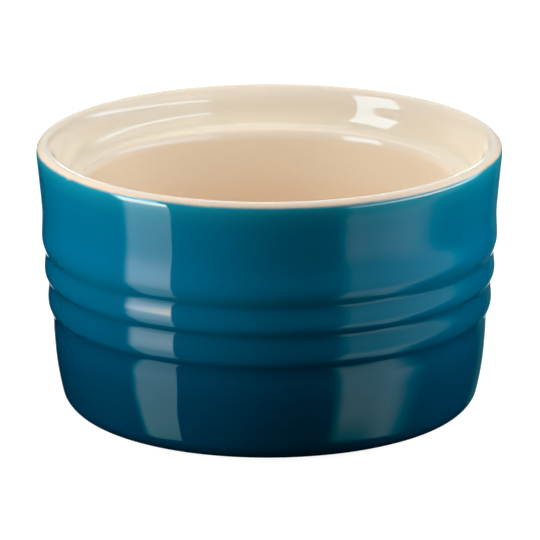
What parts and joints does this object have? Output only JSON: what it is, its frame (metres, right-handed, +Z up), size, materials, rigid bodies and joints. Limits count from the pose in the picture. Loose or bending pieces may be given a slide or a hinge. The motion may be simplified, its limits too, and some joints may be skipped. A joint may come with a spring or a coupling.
{
  "type": "ramekin",
  "caption": "Round glazed stoneware ramekin with raised ribs round the wall, a pale interior and a ledge inside the mouth for stacking.",
  "frame": {"origin": "on the ramekin's axis, in the plane that its foot ring stands on", "axes": "+Z up along the axis, from the foot to the mouth; +X and +Y lie in the standing plane, and -Y faces the camera of the picture"},
  "size_m": [0.0928, 0.0928, 0.0543],
  "materials": {
    "fired_clay": "matte, bare fired clay",
    "coloured_glaze": "gloss glaze, deep teal at the rim shading to navy at the foot",
    "pale_glaze": "gloss cream glaze",
    "base_coloured_glaze": "gloss navy glaze"
  },
  "bodies": {
    "root": {"stoneware_body": "fired_clay", "outer_glaze": "coloured_glaze", "inner_glaze": "pale_glaze", "base_glaze": "base_coloured_glaze"}
  },
  "joints": []
}
